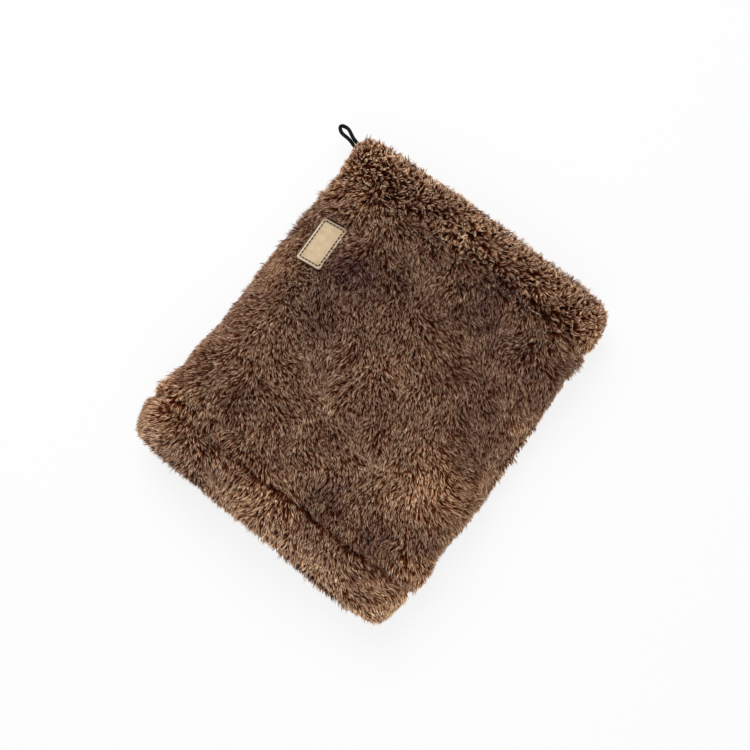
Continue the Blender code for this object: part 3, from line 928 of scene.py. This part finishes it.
def growPile(name, skin, sStart, sLength, uStart, uLength, seed, look, side=0, inside=False):
    # locks of pile over a stretch of skin, cut into pieces of a workable size
    draw = np.random.default_rng(seed)
    outward = side if side else 1.0
    grid = jittered(draw, sLength, uLength, look["lock"])
    cs = grid[2].reshape(-1) + sStart
    cu = grid[3].reshape(-1) + uStart
    lockRoot, lockNormal = frameOn(skin, cs, cu, outward)
    locks = len(cs)
    lip = share((cu - 0.1 * lipStart) / (0.85 * lipStart)) if side else np.zeros(locks)
    ahead, strength = brushed(lockRoot, lockNormal, lip, side, np.full(locks, inside))
    near = onLabel(lockRoot)
    beyond = np.abs(near[:, :2]) - np.array([label["length"], label["width"]]) / 2
    fromLabel = np.linalg.norm(np.maximum(beyond, 0), axis=1)
    atLabel = np.abs(near[:, 2]) < fur["labelHeight"]
    under = (np.max(beyond, axis=1) < 0) & atLabel
    give = np.where(atLabel, share(1 - fromLabel / label["press"]), 0.0)
    away = (np.sign(near[:, :2]) * np.maximum(beyond, 0)) @ labelFrame[:3, :2].T
    away /= np.maximum(np.linalg.norm(away, axis=1, keepdims=True), 1e-6)
    turn = draw.normal(0, fur["stray"], locks)
    turn = turn + fur["flow"][0] * flowTurn(cs, cu) + fur["flow"][1] * flowFine(cs, cu)
    beside = np.cross(lockNormal, ahead)
    ahead = ahead * np.cos(turn)[:, None] + beside * np.sin(turn)[:, None]
    aside = np.where(near[:, 1] < -label["width"] / 2, -0.5, 0.25) * give
    ahead = unit(ahead * (1 - np.abs(aside))[:, None] + away * aside[:, None])
    beside = np.cross(lockNormal, ahead)
    rim = rimShare(lockRoot)
    atSide = 1 - np.abs(lockNormal[:, 2])
    fromHem = np.abs(np.abs(lockRoot[:, 0]) - hemX)
    outside = 0.0 if inside else 1.0
    atHem = bell(fromHem, fur["hemReach"])
    held = np.where(lockRoot[:, 1] < 0, 1 - 0.8 * atSide, 1.0) * outside
    pressed = np.where(under, fur["underLabel"], 1 - fur["hemPress"] * atHem * held)
    lockHeight = look["height"] * draw.uniform(*spread["height"], locks) * (1 + 0.12 * rim - 0.14 * atSide)
    lockHeight = lockHeight * (1 - 0.26 * lip**3) * pressed
    lockLean = look["lean"] * draw.uniform(*spread["lean"], locks) * (1 + 0.25 * rim - 0.35 * atSide)
    lockLean = lockLean * (1 - 0.55 * give) * (1 - 0.4 * lip**2) * strength
    lockCurl = look["curl"] * draw.uniform(*spread["curl"], locks)
    lockCurl = lockCurl * draw.choice([-1.0, 1.0], locks) * (1 + 0.5 * rim)
    lockPhase = draw.uniform(*spread["phase"], locks)
    lockTone = pileTone(lockRoot) + draw.normal(0, fur["lockTone"], locks)
    lockTone += fur["insideTone"] if inside else 0.0
    # painted shadow: the pile is darker along the crease of each hem
    paintedHemShadow = np.where(lockRoot[:, 0] < 0, *fur["paintedHemShadow"])
    lockTone -= paintedHemShadow * atHem * (0.55 + 0.45 * toneWide(cs * 2, cu))

    _, _, s, u = jittered(draw, sLength, uLength, look["strand"])
    s = s.reshape(-1)
    u = u.reshape(-1)
    owner = nearest(s, u, grid, sLength, uLength)
    root, normal = frameOn(skin, s + sStart, u + uStart, outward)
    count = len(s)
    along = np.linspace(0, 1, fur["rings"] + 1)
    jitter = draw.uniform(*spread["strand"], (3, count))
    shaded = draw.random(count) < fur["shadedShare"]
    shade = np.where(shaded, fur["shaded"], fur["lit"]) + draw.normal(0, fur["mixed"], count)
    atRim = np.maximum(lip**2, atSide**2)[owner] * outside
    alike = 1 - fur["softRim"] * atRim
    tone = np.clip(lockTone[owner] + draw.normal(0, fur["strandTone"], count), 0.02, 0.98)
    loose = draw.normal(0, fur["loose"], (count, 3))
    gather = fur["gather"] * (1 - fur["ungathered"] * np.maximum(lip**2, atSide)[owner])
    path = np.empty((count, fur["rings"] + 1, 3))
    for r, t in enumerate(along):
        base = root + (lockRoot[owner] - root) * (gather * t**1.2)[:, None]
        rise = lockHeight[owner] * jitter[0] * (1 - (1 - t) ** 1.9)
        reach = lockLean[owner] * jitter[1] * t**1.3
        sway = lockCurl[owner] * jitter[2] * np.sin(math.tau * (0.85 * t + lockPhase[owner])) * min(1, 2 * t)
        path[:, r] = base + normal * rise[:, None] + ahead[owner] * reach[:, None]
        path[:, r] += beside[owner] * sway[:, None]
        path[:, r] += loose * t
    path[..., 2] = np.maximum(path[..., 2], form["gap"] + look["width"])
    shape = np.interp(along, [0, 0.33, 0.67, 1], [0.8, 1.0, 0.85, 0.1])
    width = look["width"] / 2 * shape[None] * draw.uniform(*spread["width"], (count, 1))
    path, clear = heldOffLabel(path)
    # painted light: at the folds and mouths the dark roots are lifted towards the tip, and the shaded strands
    # differ less
    paler = fur["paintedRootLift"] * atRim
    places = along[None] + (1 - along[None]) * paler[:, None]
    places = places * (1 - (1 - shade) * alike)[:, None]
    order = np.argsort(u[clear], kind="stable")
    path, width, tone, places = (rows[clear][order] for rows in (path, width, tone, places))
    parts = math.ceil(len(path) / fur["mostStrands"])
    pieces = []
    for k, ids in enumerate(np.array_split(np.arange(len(path)), parts)):
        pieces.append(addStrands(f"{name}{k + 1}", path[ids], width[ids], tone[ids], places[ids]))
    print(name, len(path), "strands in", parts, "pieces")
    return pieces


bodyLength = 2 * hemX
lipTurn = lipStart + lipRun * 0.7
frontRun = lowerSeam - upperSeam
backGirth = upperSeam + lowFold
facing = (0, girth, lipTurn, cuffRun - lipTurn)
leftSkin = cuffSkin(-1)
rightSkin = cuffSkin(1)
frontPile = growPile("frontPile", bodySkin, upperSeam, frontRun, -hemX, bodyLength, 101, looks["front"])
backPile = growPile("backPile", bodySkin, -lowFold, backGirth, -hemX, bodyLength, 102, looks["back"])
leftPile = growPile("leftCuffPile", leftSkin, 0, girth, 0, lipTurn, 103, looks["left"], -1)
rightPile = growPile("rightCuffPile", rightSkin, 0, girth, 0, lipTurn, 104, looks["right"], 1)
leftPile += growPile("leftFacingPile", leftSkin, *facing, 105, looks["facing"], -1, True)
rightPile += growPile("rightFacingPile", rightSkin, *facing, 106, looks["facing"], 1, True)
piles = {"front_shell": frontPile, "back_shell": backPile, "left_cuff": leftPile, "right_cuff": rightPile}
for node, pieces in piles.items():
    dress(pieces, "muff", "pile_fleece", node)

# the hem stitching, deep in the pile

hemStitch = {"pitch": 0.0042, "share": 0.78, "radius": 0.00050, "depth": 0.0052}
hemStations = np.linspace(0, girth, 400)
for name, side in (("left", -1), ("right", 1)):
    hem = np.full(len(hemStations), side * hemX)
    line = wallPoint(hemStations, hem, hemStitch["depth"])
    up = -inwardAt(hemStations, hem)
    stitches = addStitches(name + "HemStitches", line, up, hemStitch, materials["brownThread"])
    dress([stitches], "muff", "brown_thread", name + "_cuff_stitching")

# the label, with its rounded edge and its stitch line pressed in


def roundedOutline(halfX, halfY, radius, steps):
    points = []
    for cornerX, cornerY, first in ((1, 1, 0), (-1, 1, 90), (-1, -1, 180), (1, -1, 270)):
        for k in range(steps + 1):
            angle = math.radians(first + 90 * k / steps)
            x = cornerX * (halfX - radius) + radius * math.cos(angle)
            y = cornerY * (halfY - radius) + radius * math.sin(angle)
            points.append((x, y))
    return points


def denseOutline(inset, count):
    radius = max(label["corner"] - inset, 0.0004)
    corners = roundedOutline(label["length"] / 2 - inset, label["width"] / 2 - inset, radius, 6)
    closed = np.array([(*point, 0.0) for point in corners + corners[:1]])
    return evenly(closed, count + 1)[0][:-1]


def addLabel():
    count = 160
    top = -label["sink"]
    rounding = label["edgeRound"]
    base = top - label["thickness"]
    rings = [(0.0002, base), (0.0, base + 0.0002), (0.0, top - rounding)]
    for k in (1, 2, 3):
        angle = math.pi / 2 * k / 3
        rings.append((rounding * (1 - math.cos(angle)), top - rounding * (1 - math.sin(angle))))
    seam = label["seam"]
    for off, dip in ((-0.0007, 0.0), (-0.0003, -0.00012), (0.0, -0.00018), (0.0003, -0.00012), (0.0007, 0.0)):
        rings.append((seam + off, top + dip))
    rings += [(seam + 0.0025, top + 0.00010), (0.0070, top + 0.00014), (0.0095, top + 0.00015)]
    points = []
    for inset, height in rings:
        outline = denseOutline(inset, count)
        cornerShare = np.abs(outline[:, 0] / (label["length"] / 2)) ** 3
        cornerShare = cornerShare * np.abs(outline[:, 1] / (label["width"] / 2)) ** 3
        outline[:, 2] = height + label["curl"] * cornerShare
        points.append(outline)
    faces = gridFaces(len(rings), count, wrapColumns=True)
    faces.append(list(range(count))[::-1])
    faces.append(list(range((len(rings) - 1) * count, len(rings) * count)))
    patch = addMesh("labelPatch", offLabel(np.concatenate(points)), faces, materials["tanLeather"])
    atEdge = share(1.3 - np.array([inset for inset, _ in rings]) / 0.0011)
    patch.data.attributes.new("edge", "FLOAT", "POINT").data.foreach_set("value", np.repeat(atEdge, count))
    return patch


labelStitch = {"pitch": 0.0033, "share": 0.68, "radius": 0.00050}
labelPatch = addLabel()
dress([labelPatch], "muff", "tan_leather", "label")
seamLine = denseOutline(label["seam"], 240)
seamLine = np.concatenate([seamLine, seamLine[:1]])
seamLine[:, 2] = -label["sink"] + 0.00005
seamLine = offLabel(seamLine)
labelUp = labelFrame[:3, 2]
labelStitches = addStitches("labelStitches", seamLine, labelUp, labelStitch, materials["brownThread"])
dress([labelStitches], "muff", "brown_thread", "label_stitching")
print("label done")

# the cord loop at the corner: two strands side by side, an open eye and back again

loop = {
    "diameter": 0.0028,
    "fromMouth": 0.012,
    "lean": math.radians(19),
    "drop": 0.005,
    "span": 0.0255,
    "eye": 0.0126,
    "clearance": 0.0004,
    "thickness": 0.0033,  # over the braid; the strands press together along the neck
    "settled": 0.0058,  # the root's place under the pile's outline
    "sunk": 0.0035,  # how far each strand goes on into the pile
    "tail": 0.010,
    "braid": 0.09,
    "braidStep": 0.0034,
}


def smoothPath(knots, steps):
    points = []
    for i in range(len(knots) - 1):
        a = knots[max(i - 1, 0)]
        b = knots[i]
        c = knots[i + 1]
        d = knots[min(i + 2, len(knots) - 1)]
        for step in range(steps):
            t = step / steps
            curve = (2 * a - 5 * b + 4 * c - d) * t**2 + (3 * b - a - 3 * c + d) * t**3
            points.append(0.5 * (2 * b + (c - a) * t + curve))
    return np.array(points + [knots[-1]])


def loopRoute():
    halfNeck = loop["diameter"] / 2 + form["gap"]
    halfEye = loop["diameter"] / 2 + 0.0017
    neck = loop["span"] - loop["eye"]
    side = [(out, halfNeck) for out in (-loop["sunk"], 0.0, neck / 3, neck * 2 / 3)]
    side += [(neck, 0.0023), (neck + 0.0040, halfEye), (neck + 0.0075, halfEye)]
    side += [(neck + 0.0105, 0.0021), (neck + 0.0121, 0.0012), (loop["span"], 0.0)]
    knots = []
    for out, across in side + [(out, -across) for out, across in reversed(side[:-1])]:
        x = across * math.cos(loop["lean"]) - out * math.sin(loop["lean"])
        y = -out * math.cos(loop["lean"]) - across * math.sin(loop["lean"])
        knots.append(np.array([x, y, -loop["drop"] * (max(out, 0) / loop["span"]) ** 2]))
    return smoothPath(knots, 6)


def braidShape(path, diameter):
    rings = max(8, round(evenly(path, 2)[1] / 0.00028))
    path, length = evenly(path, rings)
    sides = 16
    angle = math.tau * np.arange(sides)[None] / sides
    along = (np.linspace(0, length, rings) * math.tau / loop["braidStep"])[:, None]
    weave = np.cos(4 * angle + along) * np.cos(4 * angle - along)
    points, faces = tubeShape(path, diameter / 2 * (1 - loop["braid"] * (1 - weave) / 2), sides)
    return points, faces, path, length


foldPoint = np.array([loop["fromMouth"] - halfLength, -halfWidth, sideRadius])
loopShift = laid(foldPoint[None])[0] - foldPoint
besideFold = -halfWidth - loop["diameter"] / 2 - loop["clearance"]
loopRoot = np.array([foldPoint[0], besideFold, sideRadius]) + loopShift
loopRoot = loopRoot + loop["settled"] * np.array([math.sin(loop["lean"]), math.cos(loop["lean"]), 0.0])
points, faces, loopPath, loopLength = braidShape(loopRoute() + loopRoot, loop["thickness"])
cordLoop = addMesh("cordLoop", points, faces, materials["blackCord"])
dress([cordLoop], "hang_loop", "black_cord", "hang_loop")
[tuple(point) for point in loopPath]

tails = []
for across in (-1, 1):
    offset = across * (loop["diameter"] / 2 + form["gap"])
    start = np.array([loopRoot[0] + offset, -halfWidth + loopShift[1] + loop["sunk"], sideRadius])
    reach = np.linspace(0, loop["tail"] - loop["sunk"], 20)
    line = start + np.stack([-0.0004 * across * (reach / loop["tail"]) ** 2, reach, np.zeros(20)], axis=1)
    tails.append(braidShape(line, loop["diameter"])[:2])
cordTails = addMesh("cordTails", *joinShapes(tails), materials["blackCord"])
dress([cordTails], "muff", "black_cord", "loop_tails")
print("loop done,", round(loopLength * 1000, 1), "mm of cord")

# the wadding, the lining and the side seams inside

inner = {
    "waddingInner": 0.0122,
    "liningOuter": 0.0127,
    "lump": 0.0005,
    "nap": 0.0005,
}
lump = waves(41, 10, 0.018)
napBig = waves(42, 10, 0.0070)
napSmall = waves(43, 10, 0.0032)


def addWadding(name, sStart, sEnd):
    ss, xx = bodyPlaces(sStart, sEnd, 90, 76)
    under = cloth["backing"] + form["gap"] + inner["lump"] * (0.5 + 0.5 * lump(ss, xx))
    top = bodySkin(ss, xx) + inwardAt(ss, xx) * under[..., None]
    low = wallPoint(ss, xx, inner["waddingInner"] - inner["lump"] * (0.5 + 0.5 * lump(ss + 0.7, xx)))
    return addSlab(name, top, low, materials["whiteWadding"])


def addLining(name, sStart, sEnd):
    ss, xx = bodyPlaces(sStart, sEnd, 190, 160)
    nap = 0.5 + 0.25 * napBig(ss, xx) + 0.25 * napSmall(ss, xx)
    top = wallPoint(ss, xx, np.full(ss.shape, inner["liningOuter"]))
    low = wallPoint(ss, xx, wall - 0.0001 - inner["nap"] * share(nap))
    return addSlab(name, top, low, materials["liningFleece"])


waddings = {
    "front_wadding": addWadding("frontWadding", upperSeam + highFold / 4, lowerSeam - highFold / 4),
    "back_wadding": addWadding("backWadding", -lowFold * 3 / 4, upperSeam - lowFold / 4),
}
for node, piece in waddings.items():
    dress([piece], "muff", "wadding", node)
frontLining = addLining("frontLining", upperSeam + form["gap"], lowerSeam - form["gap"])
backLining = addLining("backLining", -lowFold + form["gap"], upperSeam - form["gap"])
dress([frontLining], "muff", "lining_fleece", "front_lining")
dress([backLining], "muff", "lining_fleece", "back_lining")

seam = {"grid": (160, 20, 0.55), "bulge": 0.06, "bulgeTurn": 900}


def seamSwell(x):
    return 1 - seam["bulge"] * (1 + np.sin(x * seam["bulgeTurn"]))


for name, title in (("upper_side_seam", "upperSeamEdges"), ("lower_side_seam", "lowerSeamEdges")):
    points, faces = stripShape(*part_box(name), 0, *seam["grid"], seamSwell)
    dress([addMesh(title, laid(points), faces, materials["seamCloth"])], "muff", "seam_edges", name)
print("inner layers done")

# the pocket for the heat pack on the back lining

pocket = {
    "cloth": 0.0015,
    "turnIn": 0.010,   # the cloth that the closed end and the binding take up
    "corners": 0.004,  # what the rounded folds save
    "round": 0.0034,
    "wrinkle": 0.00025,
    "mostSag": 0.0002,
    "nap": 0.00025,
    "stitch": {"pitch": 0.0036, "share": 0.76, "radius": 0.00038},
}
pocketLow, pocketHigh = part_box("warmer_pocket")
pucker = waves(51, 8, 0.022)


pocketAcross = pocketHigh.y - pocketLow.y
pocketTall = pocketHigh.z - pocketLow.z


def pocketDrape(inset, count):
    # along the cloth: up one side, over the top and down the other
    rise = pocketTall - inset
    half = pocketAcross / 2 - inset
    radius = pocket["round"] - inset * 0.6
    arc = math.pi / 2 * radius
    runs = np.array([0, rise - radius, arc, 2 * (half - radius), arc, rise - radius])
    ends = np.cumsum(runs)
    d = np.linspace(0, 1, count) * ends[-1]
    turnA = np.clip((d - ends[1]) / radius, 0, math.pi / 2)
    turnB = np.clip((d - ends[3]) / radius, 0, math.pi / 2)
    y = -half + radius * (1 - np.cos(turnA)) + np.clip(d - ends[2], 0, runs[3]) + radius * np.sin(turnB)
    z = np.minimum(d, ends[1]) + radius * np.sin(turnA) - radius * (1 - np.cos(turnB))
    return y, z - np.clip(d - ends[4], 0, runs[5])


def pocketCover(inset):
    rows, columns = 110, 96
    y, z = pocketDrape(inset, columns)
    start = pocketLow.x + inset
    x = np.concatenate([[start], start + np.linspace(0, 1, rows - 1) * (pocketHigh.x - start)])
    yy = np.tile(y[None], (rows, 1)) + (pocketHigh.y + pocketLow.y) / 2
    xx = np.tile(x[:, None], (1, columns))
    fall = np.sqrt(1 - (1 - share((xx - start) / pocket["round"])) ** 2)
    fall[0] = 0.0
    zz = np.tile(z[None], (rows, 1)) * fall
    raised = share(zz / pocketTall)
    sag = np.minimum(pocket["wrinkle"] * pucker(xx, yy) * raised, pocket["mostSag"])
    grain = pocket["nap"] * (napSmall(xx, yy) - 1.0) * raised * (0.0 if inset else 1.0)
    return np.stack([xx, yy, pocketLow.z + np.maximum(zz + sag + grain, 0.0)], axis=-1)


packPocket = addSlab("packPocket", pocketCover(0.0), pocketCover(pocket["cloth"]), materials["liningFleece"])
dress([packPocket], "muff", "lining_fleece", "warmer_pocket")

binding = {
    "grid": (240, 18, 0.6),  # steps, sides and rounding
    "rib": 0.0011,
    "ribDepth": 0.07,
    "end": 0.0008,
    "endShare": 0.35,
}
bindLow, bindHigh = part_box("pocket_binding")


def bindingSwell(y):
    # the ribs of a tape folded over the pocket's edge, and its thinner ends
    ribs = 1 - binding["ribDepth"] * (0.5 + 0.5 * np.cos(y * math.tau / binding["rib"]))
    fromEnd = np.minimum(y - bindLow.y, bindHigh.y - y)
    return ribs * np.clip(fromEnd / binding["end"], binding["endShare"], 1)


bindingShape = stripShape(bindLow, bindHigh, 1, *binding["grid"], bindingSwell)
pocketBinding = addMesh("pocketBinding", *bindingShape, materials["brownTape"])
dress([pocketBinding], "muff", "brown_tape", "pocket_binding")
stitchLow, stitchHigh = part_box("pocket_stitching")
edge = pocket["stitch"]["radius"]
corners = np.array([
    (stitchHigh.x, stitchHigh.y - edge, stitchLow.z + edge),
    (stitchLow.x + edge, stitchHigh.y - edge, stitchLow.z + edge),
    (stitchLow.x + edge, stitchLow.y + edge, stitchLow.z + edge),
    (stitchHigh.x, stitchLow.y + edge, stitchLow.z + edge),
])
pocketStitches = addStitches("pocketStitches", corners, (0, 0, 1), pocket["stitch"], materials["brownThread"])
dress([pocketStitches], "muff", "brown_thread", "pocket_stitching")

# the heat pack: a crimped pouch of grains

pack = {
    "rim": 0.0055,
    "seal": 0.0011,
    "crimp": 0.00022,
    "crimpStep": 0.0016,
    "grain": 0.00030,
    "room": 0.0004,
}
grains = waves(61, 12, 0.0060)
settle = waves(62, 6, 0.030)


def addPack():
    rows, columns = 150, 110
    low, high = np.array(packLow), np.array(packHigh)
    halfX, halfY, halfZ = (high - low) / 2
    centre = (low + high) / 2
    xx, yy = np.meshgrid(np.linspace(-halfX, halfX, rows), np.linspace(-halfY, halfY, columns), indexing="ij")
    toEdge = np.minimum(halfX - np.abs(xx), halfY - np.abs(yy))
    innerX = share(np.abs(xx) / (halfX - pack["rim"]))
    innerY = share(np.abs(yy) / (halfY - pack["rim"]))
    swell = ((1 - innerX**4) * (1 - innerY**4)) ** 0.55
    rim = share(1 - (toEdge - pack["rim"] * 0.6) / (pack["rim"] * 0.4))
    ridges = np.sin(xx * math.tau / pack["crimpStep"]) + np.sin(yy * math.tau / pack["crimpStep"])
    crimp = pack["crimp"] * rim * ridges / 2
    full = halfZ - pack["seal"] / 2 - pack["room"]
    height = pack["seal"] / 2 + full * swell * (0.93 + 0.07 * settle(xx, yy))
    height = height + pack["grain"] * swell * (grains(xx, yy) - 0.6)
    under = -pack["seal"] / 2 - full * swell * 0.98
    top = np.stack([xx, yy, np.minimum(height, halfZ) + crimp], axis=-1) + centre
    base = np.stack([xx, yy, under + crimp * 0.5], axis=-1) + centre
    return addSlab("heatPouch", top, base, materials["packPaper"])


heatPouch = addPack()
dress([heatPouch], "heat_pack", "pack_paper", "heat_pack")
print("pocket and pack done")

# the stage, the lights and the camera

stage = {"floorSize": 8.0, "floorColour": (0.90, 0.90, 0.90), "white": 0.82}


def rayMask(tree):
    # camera, mirror and see-through rays, which show the plain white
    ray = addNode(tree, "LightPath")
    first = addNode(tree, "Math", operation="MAXIMUM")
    second = addNode(tree, "Math", operation="MAXIMUM")
    joinNodes(tree, (ray, "Is Camera Ray", first, 0), (ray, "Is Glossy Ray", first, 1))
    joinNodes(tree, (first, "Value", second, 0), (ray, "Is Transmission Ray", second, 1))
    return second.outputs["Value"]


def addFloor():
    bpy.ops.mesh.primitive_plane_add(size=stage["floorSize"], location=(0, 0, 0))
    floor = bpy.context.object
    floor.name = "floor"
    material = bpy.data.materials.new("paleFloor")
    material.use_nodes = True
    tree = material.node_tree
    tree.nodes.clear()
    out = addNode(tree, "OutputMaterial")
    diffuse = addNode(tree, "BsdfDiffuse", {"Color": (*stage["floorColour"], 1)})
    white = addNode(tree, "Emission")
    amount = addNode(tree, "Math", {1: stage["white"]}, operation="MULTIPLY")
    mix = addNode(tree, "MixShader")
    tree.links.new(rayMask(tree), amount.inputs[0])
    joinNodes(tree, (amount, "Value", mix, "Fac"), (diffuse, "BSDF", mix, 1), (white, "Emission", mix, 2))
    joinNodes(tree, (mix, "Shader", out, "Surface"))
    floor.data.materials.append(material)


lights = {
    "world": 0.36,
    "keyPower": 20.0,
    "keySize": 1.2,
    "keyPlace": (-0.55, -0.75, 1.35),
    "fillPower": 7.0,
    "fillPlace": (0.9, 0.6, 1.1),
}


def addLight(name, power, size, place):
    lamp = bpy.data.lights.new(name, "AREA")
    lamp.energy = power
    lamp.size = size
    holder = bpy.data.objects.new(name, lamp)
    holder.location = place
    holder.rotation_euler = (Vector((0, 0, 0.03)) - Vector(place)).to_track_quat("-Z", "Y").to_euler()
    bpy.context.scene.collection.objects.link(holder)


def addWorld():
    world = bpy.data.worlds.new("studio")
    bpy.context.scene.world = world
    world.use_nodes = True
    tree = world.node_tree
    soft = tree.nodes["Background"]
    soft.inputs["Color"].default_value = (1, 1, 1, 1)
    soft.inputs["Strength"].default_value = lights["world"]
    seen = addNode(tree, "Background", {"Color": (1, 1, 1, 1), "Strength": 1.0})
    mix = addNode(tree, "MixShader")
    tree.links.new(rayMask(tree), mix.inputs["Fac"])
    joinNodes(tree, (soft, "Background", mix, 1), (seen, "Background", mix, 2))
    joinNodes(tree, (mix, "Shader", tree.nodes["World Output"], "Surface"))


camera = {  # from the muff's outline in a 750 x 750 frame
    "frame": 750,
    "focal": 1000.0,            # in pixels
    "distance": 0.8189,
    "tilt": math.radians(11.43),
    "turn": math.radians(37.40),
    "centre": (374.5, 381.65),  # where the muff's origin shows
}


def addCamera():
    lens = bpy.data.cameras.new("camera")
    lens.sensor_width = 36.0
    lens.sensor_fit = "HORIZONTAL"
    lens.lens = camera["focal"] / camera["frame"] * lens.sensor_width
    down = Vector((math.cos(camera["turn"]), math.sin(camera["turn"]), 0))
    right = Vector((-math.sin(camera["turn"]), math.cos(camera["turn"]), 0))
    up = Vector((0, 0, 1))
    back = down * math.sin(camera["tilt"]) + up * math.cos(camera["tilt"])
    imageUp = -down * math.cos(camera["tilt"]) + up * math.sin(camera["tilt"])
    lens.shift_x = (camera["frame"] / 2 - camera["centre"][0]) / camera["frame"]
    lens.shift_y = (camera["centre"][1] - camera["frame"] / 2) / camera["frame"]
    holder = bpy.data.objects.new("camera", lens)
    turned = Matrix((right, imageUp, back)).transposed().to_4x4()
    holder.matrix_world = Matrix.Translation(back * camera["distance"]) @ turned
    bpy.context.scene.collection.objects.link(holder)
    bpy.context.scene.camera = holder


addFloor()
addLight("keyLight", lights["keyPower"], lights["keySize"], lights["keyPlace"])
addLight("fillLight", lights["fillPower"], lights["keySize"], lights["fillPlace"])
addWorld()
addCamera()
bpy.context.scene.view_settings.view_transform = "Standard"
print("stage done")
